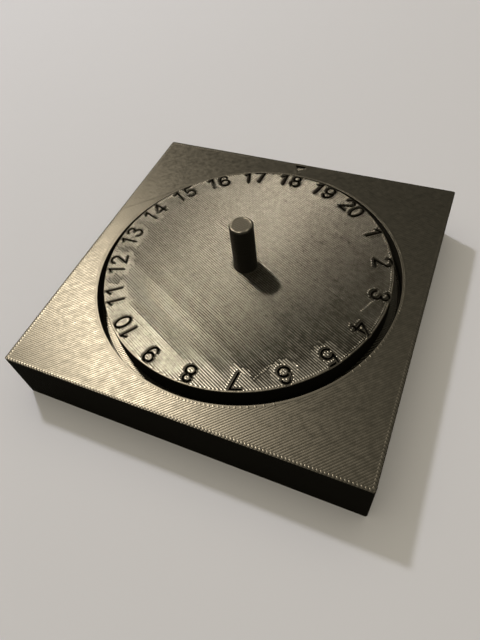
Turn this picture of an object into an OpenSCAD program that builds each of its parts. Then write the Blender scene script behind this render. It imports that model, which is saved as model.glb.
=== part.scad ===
// Spinner life counter, printed in plastic: a square base with a round pocket,
// a numbered dial that turns in the pocket, and the spindle it turns on.
// Origin at the centre of the base's underside, +Z up, and +Y towards the edge
// that carries the index mark. All sizes are in millimetres.

/* [Dial] */
// Diameter of the dial
dial_d = 52; // [40:0.2:80]
// Thickness of the dial
dial_t = 4.5; // [3.6:0.1:8]

/* [Base] */
// Thickness of the base
base_h = 11; // [8:0.5:20]
// Least width of the base's face between the pocket and an edge
rim_w = 4; // [3.6:0.1:12]
// Radius on the base's upright corners
corner_r = 0.4; // [0.2:0.1:2]

/* [Pocket] */
// Gap between the dial's rim and the pocket's wall
pocket_gap = 1.5; // [0.4:0.1:3]
// Depth of the pocket below the base's face
pocket_depth = 3.2; // [2:0.1:3.6]

/* [Spindle] */
// Diameter of the spindle
spindle_d = 4.2; // [3:0.1:8]
// Length of spindle that stands above the dial, for the fingers to twirl
spindle_grip = 9.7; // [5:0.1:25]
// Bevel on the spindle's two ends
spindle_bevel = 0.15; // [0.05:0.05:0.8]

/* [Bearing] */
// Running clearance between the spindle and its bore in the base, each side
bore_clearance = 0.1; // [0.05:0.05:0.4]
// Plastic left under the blind bore
bore_floor = 1.5; // [1:0.1:2.5]
// Space under the spindle's foot, which lets the dial rest on the pocket's floor
foot_space = 0.3; // [0.1:0.1:0.6]
// Countersink at the mouth of the bore, and of the dial's hole underneath
bore_lead = 0.5; // [0.2:0.1:1]

/* [Index mark] */
// Width of the triangle along the base's edge
mark_w = 2.4; // [1:0.1:5]
// Length of the triangle, from its outer side to its point
mark_len = 2.2; // [1:0.1:2.5]
// Distance from the pocket's wall to the triangle's point
mark_setback = 1.3; // [0.4:0.1:1.4]
// Depth of the triangle
mark_depth = 0.6; // [0.2:0.1:1.5]

/* [Hidden] */
$fn = 96;

// Overlap of a cut past the face that it opens
past = 1;

dial_r = dial_d / 2;
pocket_r = dial_r + pocket_gap;
base_side = 2 * (pocket_r + rim_w);
pocket_floor = base_h - pocket_depth;
dial_top = pocket_floor + dial_t;

spindle_r = spindle_d / 2;
bore_r = spindle_r + bore_clearance;
spindle_foot = bore_floor + foot_space;
spindle_top = dial_top + spindle_grip;

plastic = [0.13, 0.125, 0.115];

// A square with round corners, as crossed rectangles and four discs
module rounded_square(side, r) {
    inner = side / 2 - r;
    square([side, 2 * inner], center = true);
    square([2 * inner, side], center = true);
    for (x = [-inner, inner], y = [-inner, inner])
        translate([x, y]) circle(r = r);
}

// The cut for a round hole along Z, widened at its mouth by a countersink.
// It runs from z = 0 to z = depth, with its mouth at the top.
module countersunk_hole(r, depth, lead) {
    rotate_extrude()
        polygon([
            [0, 0], [r, 0], [r, depth - lead], [r + lead, depth],
            [r + lead, depth + past], [0, depth + past]
        ]);
}

// The cut for the index mark: a triangle whose point faces the dial
module index_mark() {
    point_y = pocket_r + mark_setback;
    back_y = point_y + mark_len;
    translate([0, 0, base_h - mark_depth])
        linear_extrude(mark_depth + past)
            polygon([[0, point_y], [mark_w / 2, back_y], [-mark_w / 2, back_y]]);
}

// The block, with the dial's pocket, the spindle's blind bore and the index mark
module base() {
    color(plastic)
        difference() {
            linear_extrude(base_h) rounded_square(base_side, corner_r);
            translate([0, 0, pocket_floor]) cylinder(r = pocket_r, h = pocket_depth + past);
            translate([0, 0, bore_floor])
                countersunk_hole(bore_r, pocket_floor - bore_floor, bore_lead);
            index_mark();
        }
}

// The disc that rests on the pocket's floor. Its hole is a tight fit on the
// spindle and opens out underneath, where the spindle is pushed in.
module dial() {
    color(plastic)
        translate([0, 0, pocket_floor])
            rotate_extrude()
                polygon([
                    [spindle_r + bore_lead, 0], [dial_r, 0], [dial_r, dial_t],
                    [spindle_r, dial_t], [spindle_r, bore_lead]
                ]);
}

// The plain pin, fast in the dial, free in the base and bevelled at both ends
module spindle() {
    bevel_r = spindle_r - spindle_bevel;
    color(plastic)
        rotate_extrude()
            polygon([
                [0, spindle_foot], [bevel_r, spindle_foot],
                [spindle_r, spindle_foot + spindle_bevel],
                [spindle_r, spindle_top - spindle_bevel],
                [bevel_r, spindle_top], [0, spindle_top]
            ]);
}

base();
dial();
spindle();
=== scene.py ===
"""The looks of a spinner life counter, printed in black plastic.

A square block has a round pocket, and in it turns a dial numbered from 1 to 20 with a plain
spindle as its grip. What makes the real one look as it does is how it was printed: its flat faces
are covered by fine rounded beads of plastic laid side by side, and its walls are stacks of thin
layers. So both are geometry here. Meshes are built in millimetres, in the frame of the CAD model,
and become metres when a piece is finished.
"""

import logging
import math
from collections.abc import Callable, Mapping, Sequence
from dataclasses import dataclass, replace
from enum import Enum
from typing import Any, ClassVar

import bmesh
import bpy
import numpy as np
from mathutils import Matrix, Vector
from mathutils.geometry import delaunay_2d_cdt

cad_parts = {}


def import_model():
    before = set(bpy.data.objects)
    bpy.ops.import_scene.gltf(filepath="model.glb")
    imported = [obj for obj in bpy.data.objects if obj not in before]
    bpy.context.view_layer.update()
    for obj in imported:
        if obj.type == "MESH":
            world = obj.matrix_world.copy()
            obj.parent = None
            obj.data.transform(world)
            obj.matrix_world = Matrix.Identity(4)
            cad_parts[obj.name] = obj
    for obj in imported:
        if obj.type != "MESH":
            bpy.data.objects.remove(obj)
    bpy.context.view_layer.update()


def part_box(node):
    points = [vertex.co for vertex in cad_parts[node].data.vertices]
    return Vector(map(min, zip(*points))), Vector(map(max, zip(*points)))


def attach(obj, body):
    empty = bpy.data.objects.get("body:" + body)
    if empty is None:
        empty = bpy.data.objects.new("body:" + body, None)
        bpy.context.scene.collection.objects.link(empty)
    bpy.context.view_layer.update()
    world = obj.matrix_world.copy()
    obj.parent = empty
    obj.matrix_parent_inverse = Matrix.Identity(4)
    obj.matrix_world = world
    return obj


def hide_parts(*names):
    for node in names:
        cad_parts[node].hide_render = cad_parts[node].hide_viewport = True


LOG = logging.getLogger("spinner_counter")
MM = 0.001
MERGE = 1e-4
SEED = 20
PRESSED = "pressed"
LEAST_POINTS = 8
# Painted shade: darker copies of the plastic's own colour. The first two darken the dial's walls,
# number grooves and underside and the pocket floor, where shade falls. The third, with the second,
# darkens the base's walls, top face and pocket rim below the tone of the same plastic on the dial.
PAINTED_SHADE_DEEP = (0.005, 0.0046, 0.0034)
PAINTED_SHADE_PALE = (0.0084, 0.0077, 0.0058)
PAINTED_SHADE_SIDE_PALE = (0.0145, 0.0132, 0.01)
BED_CROWN = 0.028

Room = Callable[[np.ndarray], np.ndarray]
Colour = tuple[float, float, float]
Stops = tuple[tuple[float, float], ...]


class Body(Enum):
    """The two bodies of the model, one of which turns on the other."""

    BASE = "base"
    SPINNER = "spinner"


class Slot(Enum):
    """The record's material slots."""

    BASE = "base_plastic"
    DIAL = "dial_plastic"
    SPINDLE = "spindle_plastic"


class Facing(Enum):
    """Which way a face covered by beads looks."""

    UP = 1
    DOWN = -1


class Winding(Enum):
    """Which side of an outline its plastic is on."""

    SOLID_INSIDE = 1
    SOLID_OUTSIDE = -1


def place_object(name: str, data: bpy.types.ID) -> bpy.types.Object:
    """Puts a mesh, lamp or camera into the scene.

    Args:
        name: the object's name.
        data: what it shows.

    Returns:
        The object.
    """
    made = bpy.data.objects.new(name, data)
    bpy.context.scene.collection.objects.link(made)
    return made


# Node trees


class Signal:
    """One output of a node, on which Python's arithmetic adds Math nodes."""

    def __init__(self, graph: "Graph", socket: bpy.types.NodeSocket) -> None:
        """Wraps an output of a node of a graph."""
        self.graph = graph
        self.socket = socket

    def also(self, key: int | str) -> "Signal":
        """Another output of the same node, by its number, identifier or name."""
        return Signal(self.graph, self.graph.pick(self.socket.node.outputs, key))

    def _math(self, operation: str, *values: Any) -> "Signal":
        """The result of a Math node on some values."""
        return self.graph.node("ShaderNodeMath", dict(enumerate(values)), operation=operation)

    def __add__(self, other: Any) -> "Signal":
        """This and another added."""
        return self._math("ADD", self, other)

    __radd__ = __add__

    def __mul__(self, other: Any) -> "Signal":
        """This and another multiplied."""
        return self._math("MULTIPLY", self, other)

    def __sub__(self, other: Any) -> "Signal":
        """Another taken from this."""
        return self._math("SUBTRACT", self, other)

    def __rsub__(self, other: Any) -> "Signal":
        """This taken from another."""
        return self._math("SUBTRACT", other, self)

    def __truediv__(self, other: Any) -> "Signal":
        """This divided by another."""
        return self._math("DIVIDE", self, other)

    def at_least(self, other: Any) -> "Signal":
        """The greater of this and another."""
        return self._math("MAXIMUM", self, other)

    def at_most(self, other: Any) -> "Signal":
        """The lesser of this and another."""
        return self._math("MINIMUM", self, other)

    def held(self) -> "Signal":
        """This, held between zero and one."""
        return self.at_least(0.0).at_most(1.0)

    def above(self, other: Any) -> "Signal":
        """One where this is greater than another, else zero."""
        return self._math("GREATER_THAN", self, other)

    def floor(self) -> "Signal":
        """This rounded down."""
        return self._math("FLOOR", self)

    def wave(self) -> "Signal":
        """The size of this angle's sine."""
        return self._math("ABSOLUTE", self._math("SINE", self))


class Graph:
    """A node tree that is written as expressions."""

    def __init__(self, tree: bpy.types.NodeTree) -> None:
        """Wraps a tree that nodes are added to."""
        self.tree = tree

    @classmethod
    def of(cls, owner: bpy.types.Material | bpy.types.World) -> "Graph":
        """Empties the tree of a new material or world.

        Args:
            owner: the material or world.

        Returns:
            Its graph.
        """
        owner.use_nodes = True
        owner.node_tree.nodes.clear()
        return cls(owner.node_tree)

    @staticmethod
    def pick(sockets: Any, key: int | str) -> bpy.types.NodeSocket:
        """Finds one of a node's sockets.

        Args:
            sockets: the node's inputs or outputs.
            key: the socket's number, identifier or name.

        Returns:
            The socket.
        """
        named = [socket for socket in sockets if socket.identifier == key]
        return named[0] if named else sockets[key]

    def feed(self, socket: bpy.types.NodeSocket, value: Any) -> None:
        """Links a signal to an input, or sets the input to a plain value.

        Args:
            socket: the input.
            value: a signal, number, colour, vector, name or material.
        """
        if isinstance(value, Signal):
            self.tree.links.new(value.socket, socket)
        else:
            socket.default_value = value

    def node(
        self,
        kind: str,
        inputs: Mapping[int | str, Any] | None = None,
        output: int | str = 0,
        **settings: Any,
    ) -> Signal:
        """Adds a node of any kind.

        Args:
            kind: Blender's name for the type of node.
            inputs: what goes into its sockets, by number, identifier or name.
            output: the output that is wanted.
            settings: the node's own properties, and as stops a ramp's places and greys.

        Returns:
            That output.
        """
        made = self.tree.nodes.new(kind)
        for name, value in settings.items():
            if name == "stops":
                self._set_stops(made.color_ramp, value)
            else:
                setattr(made, name, value)
        for key, value in (inputs or {}).items():
            self.feed(self.pick(made.inputs, key), value)
        return Signal(self, self.pick(made.outputs, output))

    def vector(self, *parts: Any) -> Signal:
        """The vector with these parts, and zero for those left out."""
        return self.node("ShaderNodeCombineXYZ", dict(enumerate(parts)))

    def parts(self, vector: Signal) -> Signal:
        """The first part of a vector, from a node that also gives Y and Z."""
        return self.node("ShaderNodeSeparateXYZ", {0: vector})

    def mix(self, factor: Signal, one: Any, other: Any) -> Signal:
        """Mixes two colours.

        Args:
            factor: how much of the other there is.
            one: a colour, or a signal.
            other: another.

        Returns:
            The mixed colour.
        """
        one, other = (
            colour if isinstance(colour, Signal) else (*colour, 1.0) for colour in (one, other)
        )
        inputs = {"Factor_Float": factor, "A_Color": one, "B_Color": other}
        return self.node("ShaderNodeMix", inputs, "Result_Color", data_type="RGBA")

    def noise(self, place: Signal, size: float, detail: float, roughness: float = 0.5) -> Signal:
        """Noise of about one size."""
        inputs = {"Vector": place, "Scale": 1 / size, "Detail": detail, "Roughness": roughness}
        return self.node("ShaderNodeTexNoise", inputs)

    def end(self, kind: str, key: int | str, result: Signal) -> None:
        """Adds the node that ends the tree, and feeds one of its inputs."""
        self.feed(self.pick(self.tree.nodes.new(kind).inputs, key), result)

    @staticmethod
    def _set_stops(ramp: bpy.types.ColorRamp, stops: Sequence[tuple[float, float]]) -> None:
        """Gives a ramp its stops.

        Args:
            ramp: a new ramp, which has two stops.
            stops: places and grey values, lowest place first.
        """
        while len(ramp.elements) < len(stops):
            ramp.elements.new(1.0)
        for element, (place, grey) in zip(ramp.elements, stops):
            element.position = place
            element.color = (grey, grey, grey, 1.0)


class Recipe:
    """A Geometry Nodes tree with named inputs, which turns a mesh of lines into plastic."""

    GEOMETRY = "NodeSocketGeometry"
    NUMBER = "NodeSocketFloat"
    WHOLE = "NodeSocketInt"
    MATERIAL = "NodeSocketMaterial"

    def __init__(self, name: str, inputs: Mapping[str, str]) -> None:
        """Starts a tree.

        Args:
            name: the tree's name.
            inputs: the kind of socket of each named input, apart from the lines and the material.
        """
        self.tree = bpy.data.node_groups.new(name, "GeometryNodeTree")
        self.graph = Graph(self.tree)
        self.identifiers: dict[str, str] = {}
        for label, kind in {"Lines": self.GEOMETRY, **inputs, "Material": self.MATERIAL}.items():
            made = self.tree.interface.new_socket(label, in_out="INPUT", socket_type=kind)
            self.identifiers[label] = made.identifier
        self.tree.interface.new_socket("Plastic", in_out="OUTPUT", socket_type=self.GEOMETRY)
        self.entry = self.graph.node("NodeGroupInput")

    def given(self, label: str) -> Signal:
        """The tree's input of that name."""
        return self.entry.also(self.identifiers[label])

    def upright_curve(self) -> Signal:
        """The lines as a curve that stands upright."""
        curve = self.graph.node("GeometryNodeMeshToCurve", {0: self.given("Lines")})
        return self.graph.node("GeometryNodeSetCurveNormal", {0: curve}, mode="Z_UP")

    def close(self, result: Signal) -> None:
        """Ends the tree in smooth shading, plain geometry and the material.

        Args:
            result: the geometry.
        """
        smooth = self.graph.node("GeometryNodeSetShadeSmooth", {0: result})
        plain = self.graph.node("GeometryNodeRealizeInstances", {0: smooth})
        inputs = {"Geometry": plain, "Material": self.given("Material")}
        self.graph.end("NodeGroupOutput", 0, self.graph.node("GeometryNodeSetMaterial", inputs))

    def bake(self, lines: bpy.types.Mesh, values: Mapping[str, Any]) -> bpy.types.Mesh:
        """Runs the tree on a mesh of lines.

        Args:
            lines: the mesh that the tree starts from.
            values: the values of the named inputs.

        Returns:
            A plain mesh, with nothing left to evaluate.
        """
        carrier = place_object("carrier", lines)
        modifier = carrier.modifiers.new("recipe", "NODES")
        modifier.node_group = self.tree
        for label, value in values.items():
            modifier[self.identifiers[label]] = value
        depsgraph = bpy.context.evaluated_depsgraph_get()
        evaluated = carrier.evaluated_get(depsgraph)
        result = bpy.data.meshes.new_from_object(evaluated, depsgraph=depsgraph)
        carrier.modifiers.remove(modifier)
        bpy.data.objects.remove(carrier)
        bpy.data.meshes.remove(lines)
        return result


def laid_bead_recipe() -> Recipe:
    """Builds the tree that sweeps beads of plastic along lines.

    The lines carry the attributes swell, crown and level: how wide the bead is against its full
    width, how high it stands over its own level, and that level.

    Returns:
        The tree.
    """
    inputs = {"Half Width": Recipe.NUMBER, "Root": Recipe.NUMBER, "Points": Recipe.WHOLE}
    recipe = Recipe("laid_beads", inputs)
    graph, given = recipe.graph, recipe.given
    half = given("Half Width")

    def attribute(name: str) -> Signal:
        """A number that the lines carry."""
        return graph.node("GeometryNodeInputNamedAttribute", {"Name": name}, data_type="FLOAT")

    inputs = {"Resolution": given("Points"), "Radius": half}
    ring = graph.node("GeometryNodeCurvePrimitiveCircle", inputs)
    inputs = {
        "Curve": recipe.upright_curve(),
        "Profile Curve": ring,
        "Scale": attribute("swell"),
        "Fill Caps": True,
    }
    tube = graph.node("GeometryNodeCurveToMesh", inputs)
    place = graph.parts(graph.node("GeometryNodeInputPosition"))
    level = attribute("level")
    height = (place.also("Z") - level) / half
    settled = level + height.at_least(0.0) * attribute("crown")
    settled += height.at_most(0.0) * given("Root")
    moved = graph.vector(place, place.also("Y"), settled)
    recipe.close(graph.node("GeometryNodeSetPosition", {"Geometry": tube, "Position": moved}))
    return recipe


def stacked_layer_recipe() -> Recipe:
    """Builds the tree that turns an outline into a wall of thin layers, hung below the outline.

    Returns:
        The tree.
    """
    inputs = {
        "Height": Recipe.NUMBER,
        "Layers": Recipe.WHOLE,
        "Steps": Recipe.WHOLE,
        "Groove": Recipe.NUMBER,
        "Wander": Recipe.NUMBER,
        "Bevel": Recipe.NUMBER,
        "Seed": Recipe.WHOLE,
    }
    recipe = Recipe("stacked_layers", inputs)
    graph, given = recipe.graph, recipe.given
    steps = given("Steps")
    rows = given("Layers") * steps
    drop = graph.vector(0.0, given("Height") / rows)
    inputs = {"Count": rows + 1.0, "Offset": drop}
    column = graph.node("GeometryNodeMeshLine", inputs, mode="OFFSET")
    index = graph.node("GeometryNodeInputIndex")
    turns = index / steps
    groove = given("Groove") * (1.0 - (turns * math.pi).wave())
    inputs = {"ID": turns.floor(), "Seed": given("Seed"), "Min_001": 0.0, "Max_001": 1.0}
    jitter = graph.node("FunctionNodeRandomValue", inputs, "Value_001", data_type="FLOAT")
    half_row = 0.5
    inner = index.above(half_row) * (rows - half_row - index).above(0.0)
    from_end = (index.at_most(rows - index) / rows) * given("Height")
    inset = (groove + jitter * given("Wander")) * inner + (given("Bevel") - from_end).at_least(0.0)
    inputs = {"Geometry": column, "Offset": graph.vector(0.0 - inset)}
    scalloped = graph.node("GeometryNodeSetPosition", inputs)
    profile = graph.node("GeometryNodeMeshToCurve", {0: scalloped})
    inputs = {"Curve": recipe.upright_curve(), "Profile Curve": profile}
    recipe.close(graph.node("GeometryNodeCurveToMesh", inputs))
    return recipe


# Plan shapes


@dataclass(frozen=True)
class Disc:
    """The room inside a circle about the axis."""

    radius: float

    def __call__(self, points: np.ndarray) -> np.ndarray:
        """How far inside the circle each point is."""
        return self.radius - np.hypot(points[:, 0], points[:, 1])


@dataclass(frozen=True)
class Outside:
    """The room outside another shape."""

    shape: Room

    def __call__(self, points: np.ndarray) -> np.ndarray:
        """How far outside the shape each point is."""
        return -self.shape(points)


@dataclass(frozen=True)
class Square:
    """The room inside a square about the axis."""

    half: float

    def __call__(self, points: np.ndarray) -> np.ndarray:
        """How far inside the square each point is."""
        return self.half - np.abs(points).max(axis=1)


@dataclass(frozen=True)
class Polygon:
    """The room inside a convex polygon, given anticlockwise."""

    corners: tuple[tuple[float, float], ...]

    def __call__(self, points: np.ndarray) -> np.ndarray:
        """How far inside the polygon each point is.

        Args:
            points: places in plan.

        Returns:
            The distance to the nearest side's line, less than zero outside.
        """
        corners = np.array(self.corners)
        sides = np.roll(corners, -1, axis=0) - corners
        inward = np.stack([-sides[:, 1], sides[:, 0]], axis=1)
        inward /= np.linalg.norm(inward, axis=1, keepdims=True)
        return np.einsum("psk,sk->ps", points[:, None, :] - corners[None], inward).min(axis=1)

    def grown(self, distance: float) -> np.ndarray:
        """The polygon's corners after its sides have moved outwards.

        Args:
            distance: how far the sides move.

        Returns:
            The new corners.
        """
        corners = np.array(self.corners)
        ahead = np.roll(corners, -1, axis=0) - corners
        ahead /= np.linalg.norm(ahead, axis=1, keepdims=True)
        behind = np.roll(ahead, 1, axis=0)
        spread = behind - ahead
        sine = behind[:, 0] * ahead[:, 1] - behind[:, 1] * ahead[:, 0]
        return corners + spread * (distance / sine)[:, None]


@dataclass(frozen=True)
class Overlap:
    """The room that several shapes have in common."""

    shapes: tuple[Room, ...]
    margin: float = 0.0

    def __call__(self, points: np.ndarray) -> np.ndarray:
        """How far inside all the shapes each point is, less a margin."""
        return np.min([shape(points) for shape in self.shapes], axis=0) - self.margin


def directions(angle: float) -> tuple[np.ndarray, np.ndarray]:
    """The directions along and across lines at an angle in degrees, in plan."""
    cosine, sine = math.cos(math.radians(angle)), math.sin(math.radians(angle))
    return np.array([cosine, sine]), np.array([-sine, cosine])


def circle(radius: float, count: int, winding: Winding = Winding.SOLID_INSIDE) -> np.ndarray:
    """Makes a circle about the axis.

    Args:
        radius: its radius.
        count: how many points it has.
        winding: which side of it the plastic is on.

    Returns:
        Its points in plan.
    """
    turn = np.arange(count) * (math.tau / count) * winding.value
    return np.stack([np.cos(turn), np.sin(turn)], axis=1) * radius


def rounded_square(side: float, radius: float, stride: float, corner_steps: int) -> np.ndarray:
    """Makes a square with round corners about the axis, anticlockwise.

    Args:
        side: the square's side.
        radius: the radius on its corners.
        stride: about how far apart the points along a side are.
        corner_steps: how many steps a corner takes.

    Returns:
        Its points in plan.
    """
    inner = side / 2 - radius
    points = []
    for quarter in range(4):
        start = quarter * math.pi / 2
        middle = start + math.pi / 4
        centre = inner * math.sqrt(2) * np.array([math.cos(middle), math.sin(middle)])
        for step in range(corner_steps + 1):
            turn = start + step / corner_steps * math.pi / 2
            points.append(centre + radius * np.array([math.cos(turn), math.sin(turn)]))
        along = np.array([-math.cos(start), -math.sin(start)])
        count = round(2 * inner / stride)
        last = points[-1]
        points.extend(last + along * (2 * inner * k / count) for k in range(1, count))
    return np.array(points)


def resampled(loop: np.ndarray, spacing: float) -> np.ndarray:
    """Spreads new points evenly along a closed loop.

    Args:
        loop: the loop's points in plan.
        spacing: about how far apart the new points are.

    Returns:
        The new points.
    """
    closed = np.vstack([loop, loop[:1]])
    length = np.concatenate([[0.0], np.cumsum(np.linalg.norm(np.diff(closed, axis=0), axis=1))])
    count = max(LEAST_POINTS, round(length[-1] / spacing))
    wanted = np.arange(count) * length[-1] / count
    return np.stack([np.interp(wanted, length, closed[:, k]) for k in (0, 1)], axis=1)


def loop_area(loop: np.ndarray) -> float:
    """How large an area a loop goes round."""
    after = np.roll(loop, -1, axis=0)
    return abs((loop[:, 0] * after[:, 1] - loop[:, 1] * after[:, 0]).sum()) / 2


def held_within(loop: np.ndarray, radius: float) -> np.ndarray:
    """A loop whose points are drawn in to a circle about the axis where they lie outside it."""
    return loop * np.minimum(1.0, radius / np.hypot(loop[:, 0], loop[:, 1]))[:, None]


def level_loops(
    height: Room, low: np.ndarray, high: np.ndarray, step: float, level: float
) -> list[np.ndarray]:
    """Finds the closed loops on which a quantity over the plan has one value.

    Args:
        height: the quantity.
        low: the lowest corner of the patch that is searched.
        high: its highest corner.
        step: the size of the patch's grid.
        level: the value.

    Returns:
        The points of each loop, in order.
    """
    across, up = (np.arange(low[k], high[k] + step, step) for k in (0, 1))
    grid = np.stack(np.meshgrid(across, up), axis=-1).reshape(-1, 2)
    lifted = height(grid) - level
    mesh = bmesh.new()
    corners = [mesh.verts.new((x, y, z)) for (x, y), z in zip(grid, lifted)]
    width = len(across)
    for row in range(len(up) - 1):
        for column in range(width - 1):
            a = row * width + column
            near = lifted[[a, a + 1, a + width, a + width + 1]]
            if near.min() <= 0.0 <= near.max():
                mesh.faces.new((corners[a], corners[a + 1], corners[a + width + 1]))
                mesh.faces.new((corners[a], corners[a + width + 1], corners[a + width]))
    whole = [*mesh.verts, *mesh.edges, *mesh.faces]
    plane = {"plane_co": (0, 0, 0), "plane_no": (0, 0, 1)}
    cut = bmesh.ops.bisect_plane(mesh, geom=whole, **plane)["geom_cut"]
    neighbours: dict[Any, list[Any]] = {}
    for edge in (item for item in cut if isinstance(item, bmesh.types.BMEdge)):
        for one, other in (edge.verts, reversed(edge.verts)):
            neighbours.setdefault(one, []).append(other)
    loops, left = [], dict.fromkeys(neighbours)
    while left:
        chain = [next(iter(left))]
        del left[chain[0]]
        while ahead := [v for v in neighbours[chain[-1]] if v in left]:
            chain.append(ahead[0])
            del left[ahead[0]]
        loops.append(np.array([v.co[:2] for v in chain]))
    mesh.free()
    return loops


def inside_loops(points: np.ndarray, loops: Sequence[np.ndarray]) -> np.ndarray:
    """Tells which points lie inside an odd number of loops.

    Args:
        points: places in plan.
        loops: closed loops in plan.

    Returns:
        True or false for each point.
    """
    odd = np.zeros(len(points), bool)
    for loop in loops:
        low, high = loop.min(axis=0), loop.max(axis=0)
        near = np.flatnonzero(((points >= low) & (points <= high)).all(axis=1))
        x, y = points[near, 0][:, None], points[near, 1][:, None]
        one, other = loop, np.roll(loop, -1, axis=0)
        spans = (one[:, 1] > y) != (other[:, 1] > y)
        rise = np.where(other[:, 1] == one[:, 1], 1.0, other[:, 1] - one[:, 1])
        crossing = one[:, 0] + (y - one[:, 1]) * (other[:, 0] - one[:, 0]) / rise
        odd[near] ^= (spans & (x < crossing)).sum(axis=1) % 2 == 1
    return odd


# Solids


class Solid:
    """A closed mesh that is gathered from walls, faces and turned parts."""

    def __init__(self) -> None:
        """Starts with nothing."""
        self.vertices: list[np.ndarray] = []
        self.faces: list[tuple[int, ...]] = []
        self.count = 0

    def add(self, vertices: np.ndarray, faces: Sequence[Sequence[int]]) -> None:
        """Adds a part.

        Args:
            vertices: the part's points.
            faces: its faces, which number those points from zero.
        """
        self.vertices.append(np.asarray(vertices, float))
        self.faces.extend(tuple(int(k) + self.count for k in face) for face in faces)
        self.count += len(vertices)

    def add_mesh(self, mesh: bpy.types.Mesh) -> None:
        """Adds a finished mesh, and removes it.

        Args:
            mesh: the mesh.
        """
        places = np.zeros(len(mesh.vertices) * 3)
        mesh.vertices.foreach_get("co", places)
        self.add(places.reshape(-1, 3), [tuple(face.vertices) for face in mesh.polygons])
        bpy.data.meshes.remove(mesh)

    def add_face(
        self,
        edges: Sequence[np.ndarray],
        level: float,
        grooves: Sequence[np.ndarray] = (),
        groove_level: float = 0.0,
    ) -> None:
        """Adds a flat face, with grooves let into it.

        Args:
            edges: the loops that bound the face, its outer edge and its holes.
            level: the face's height.
            grooves: the loops that bound the grooves.
            groove_level: the height of the grooves' floors.
        """
        loops = [*edges, *grooves]
        starts = np.cumsum([0] + [len(loop) for loop in loops])
        rims = [
            (start + k, start + (k + 1) % len(loop))
            for start, loop in zip(starts, loops)
            for k in range(len(loop))
        ]
        spots = [Vector(spot) for spot in np.vstack(loops)]
        plan, _, triangles, *_ = delaunay_2d_cdt(spots, rims, [], 0, MERGE / 10)
        plan = np.array(plan)
        middles = np.array([plan[list(face)].mean(axis=0) for face in triangles])
        kept = inside_loops(middles, edges)
        low = inside_loops(middles, grooves) if grooves else np.zeros(len(middles), bool)
        total = len(plan)
        sides: dict[tuple[int, int], list[bool]] = {}
        made: list[tuple[int, ...]] = []
        for face, keep, sunk in zip(triangles, kept, low):
            if not keep:
                continue
            made.append(tuple(k + total * int(sunk) for k in face))
            for one, other in zip(face, (*face[1:], face[0])):
                sides.setdefault((min(one, other), max(one, other)), []).append(bool(sunk))
        for (one, other), depths in sides.items():
            if len(set(depths)) > 1:
                made.append((one, other, other + total, one + total))
        heights = np.repeat([level, groove_level], total)
        self.add(np.column_stack([np.vstack([plan, plan]), heights]), made)

    def add_turned(self, profile: Sequence[tuple[float, float]], count: int) -> None:
        """Adds a surface turned about the axis.

        Args:
            profile: radii and heights, of which only the last may be on the axis.
            count: how many steps the turn takes.
        """
        rings = [
            np.column_stack([circle(radius, count), np.full(count, level)])
            for radius, level in profile
            if radius > 0
        ]
        faces: list[tuple[int, ...]] = []
        for ring in range(len(rings) - 1):
            for k in range(count):
                a, b = ring * count + k, ring * count + (k + 1) % count
                faces.append((a, b, b + count, a + count))
        points = np.vstack(rings)
        if profile[-1][0] == 0:
            last = (len(rings) - 1) * count
            faces.extend((last + k, last + (k + 1) % count, len(points)) for k in range(count))
            points = np.vstack([points, [0.0, 0.0, profile[-1][1]]])
        self.add(points, faces)

    def mesh(self, name: str, sharp: float) -> bpy.types.Mesh:
        """Closes the solid up.

        Args:
            name: the mesh's name.
            sharp: the angle in radians past which an edge stays sharp.

        Returns:
            The mesh, in millimetres.
        """
        made = bpy.data.meshes.new(name)
        made.from_pydata(np.vstack(self.vertices).tolist(), [], self.faces)
        work = bmesh.new()
        work.from_mesh(made)
        bmesh.ops.remove_doubles(work, verts=work.verts, dist=MERGE)
        loose = [v for v in work.verts if not v.link_faces]
        bmesh.ops.delete(work, geom=loose, context="VERTS")
        bmesh.ops.recalc_face_normals(work, faces=work.faces)
        for face in work.faces:
            face.smooth = True
        for edge in work.edges:
            edge.smooth = len(edge.link_faces) == 2 and edge.calc_face_angle(0.0) < sharp
        open_edges = sum(1 for edge in work.edges if len(edge.link_faces) != 2)
        if open_edges:
            LOG.warning("%s has %d open edges", name, open_edges)
        work.to_mesh(made)
        work.free()
        return made


# Printing


@dataclass
class Bead:
    """One run of laid plastic: its way in plan, and its build along the way.

    Where the nozzle presses it flat, only a share of its crown is left.
    """

    path: np.ndarray
    swell: np.ndarray
    crown: np.ndarray
    left: np.ndarray
    closed: bool = False


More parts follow.
